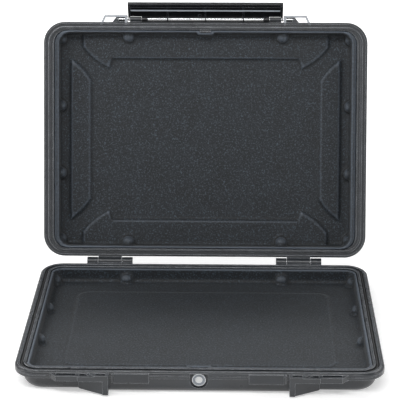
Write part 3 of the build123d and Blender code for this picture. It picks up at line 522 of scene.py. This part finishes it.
# %% Press both liners
strip_edge = ((0.165, 0.123), (0.127, 0.093), (1, -1))
pad_edge = ((0.181, 0.109), (0.151, 0.079), (-1, 1))
slants = [[(x * sx, y * sy) for x, y in edge] for edge in (strip_edge, pad_edge)
          for sx in (-1, 1) for sy in (-1, 1)]
press_liner("base_tray_liner", "base_liner", "base")
press_liner("lid_tray_liner", "lid_liner", "lid", slants)

# %% [markdown]
# ## Table and backdrop
# The case lies on a white sheet that fills the picture. The sheet is a real surface, so it
# keeps a soft shadow under the case. For the camera it also glows, a little close to the case
# and more with distance, which brings its open areas to white and keeps the shadow. In
# reflections it glows evenly. Neither puts extra light on the case.

# %% White table
half_table = 8.0
glow_near, glow_far = 0.45, 1.0      # of white, as the camera sees the table
near_table, far_table = 0.4, 2.0     # metres from the case's middle
glow_mirrored = 0.7                  # of white, in reflections

table_mesh = bpy.data.meshes.new("white_table")
table_mesh.from_pydata([(-half_table, -half_table, 0), (half_table, -half_table, 0),
                        (half_table, half_table, 0), (-half_table, half_table, 0)],
                       [], [(0, 1, 2, 3)])
table = bpy.data.objects.new("white_table", table_mesh)
scene.collection.objects.link(table)
table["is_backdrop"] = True
paper = bpy.data.materials.new("white_paper")
paper.use_nodes = True
tree = paper.node_tree
tree.nodes.clear()
matt = add_node(tree, "ShaderNodeBsdfDiffuse", None, {"Color": linear("#ececec")})
place = add_node(tree, "ShaderNodeTexCoord").outputs["Object"]
away = add_node(tree, "ShaderNodeVectorMath", {"operation": "LENGTH"}, {0: place})
open_glow = spread(tree, away.outputs["Value"], near_table, far_table, glow_near, glow_far)
ray = add_node(tree, "ShaderNodeLightPath")
seen = maths(tree, "MAXIMUM", ray.outputs["Is Camera Ray"], ray.outputs["Is Transmission Ray"])
mirrored = maths(tree, "MULTIPLY", ray.outputs["Is Glossy Ray"], glow_mirrored)
strength = maths(tree, "MAXIMUM", maths(tree, "MULTIPLY", seen, open_glow), mirrored)
glow = add_node(tree, "ShaderNodeEmission", None, {"Strength": strength})
both = add_node(tree, "ShaderNodeAddShader", None, {0: matt.outputs[0], 1: glow.outputs[0]})
add_node(tree, "ShaderNodeOutputMaterial", None, {"Surface": both.outputs[0]})
table_mesh.materials.append(paper)
print("table", 2 * half_table, "m across")

# %% [markdown]
# ## Light
# Black plastic shows its shape only by what it reflects. A long key lamp hangs above and in
# front of the case. A wide, shallow lamp above and behind it draws light lines along the upper
# edges, and a narrow lamp on each side does the same for the side edges. The room gives little
# light of its own. The camera sees it as white. In reflections it is white low down in front
# and at the sides, and darker overhead and behind, so that level faces stay dark.

# %% The room
room_light = 0.1       # of white, as light on the case
overhead = 0.25        # of white, overhead in reflections
behind = 0.3           # of white, behind the case in reflections
# a direction's upward and backward parts between which the room darkens
upward_from, upward_to = 0.35, 0.75
backward_from, backward_to = 0.0, 0.7

room = bpy.data.worlds.new("white_room")
scene.world = room
room.use_nodes = True
tree = room.node_tree
tree.nodes.clear()
ray = add_node(tree, "ShaderNodeLightPath")
seen = maths(tree, "MAXIMUM", ray.outputs["Is Camera Ray"], ray.outputs["Is Transmission Ray"])
toward = add_node(tree, "ShaderNodeTexCoord").outputs["Generated"]
direction = add_node(tree, "ShaderNodeSeparateXYZ", None, {"Vector": toward}).outputs
shade = maths(tree, "MULTIPLY",
              spread(tree, direction["Z"], upward_from, upward_to, 1.0, overhead),
              spread(tree, direction["Y"], backward_from, backward_to, 1.0, behind))
mirrored = maths(tree, "MULTIPLY", shade, ray.outputs["Is Glossy Ray"])
strength = maths(tree, "MAXIMUM", seen, maths(tree, "MAXIMUM", mirrored, room_light))
sky = add_node(tree, "ShaderNodeBackground", None,
               {"Color": linear("#ffffff"), "Strength": strength})
add_node(tree, "ShaderNodeOutputWorld", None, {"Surface": sky.outputs[0]})
print("made", room.name)

# %% [markdown]
# Each lamp is a rectangle that points at a place. Its size sets how wide the reflection is and,
# with its watts, how bright: the same watts from a smaller lamp give a brighter line. Places
# and sizes are in metres.

# %% Lamps
def soft_lamp(name, place, aim, size, watts):
    """A rectangular soft lamp that points at a place."""
    data = bpy.data.lights.new(name, "AREA")
    data.shape = "RECTANGLE"
    data.size, data.size_y = size
    data.energy = watts
    lamp = bpy.data.objects.new(name, data)
    scene.collection.objects.link(lamp)
    lamp.location = place
    lamp.rotation_euler = (Vector(aim) - Vector(place)).to_track_quat("-Z", "Y").to_euler()


soft_lamp("key_lamp", place=(-0.35, -0.9, 1.45), aim=(0.0, 0.2, 0.25), size=(2.0, 0.3),
          watts=20)
soft_lamp("back_lamp", place=(0.0, 1.2, 1.6), aim=(0.0, 0.2, 0.3), size=(4.0, 0.3), watts=34)
soft_lamp("left_lamp", place=(-1.7, -0.3, 0.8), aim=(0.0, 0.1, 0.15), size=(0.2, 1.2), watts=6)
soft_lamp("right_lamp", place=(1.7, -0.3, 0.8), aim=(0.0, 0.1, 0.15), size=(0.2, 1.2), watts=4)
scene.view_settings.view_transform = "Standard"

# %% [markdown]
# ## Measure
# The dressed case must stay the size of the mechanical one, so both boxes are printed.

# %% Print the sizes
visual_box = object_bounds()
sizes = {"cad": [list(corner) for corner in cad_box],
         "visual": [list(corner) for corner in visual_box]}
for name, corners in sizes.items():
    print(name, [[round(v, 4) for v in corner] for corner in corners])
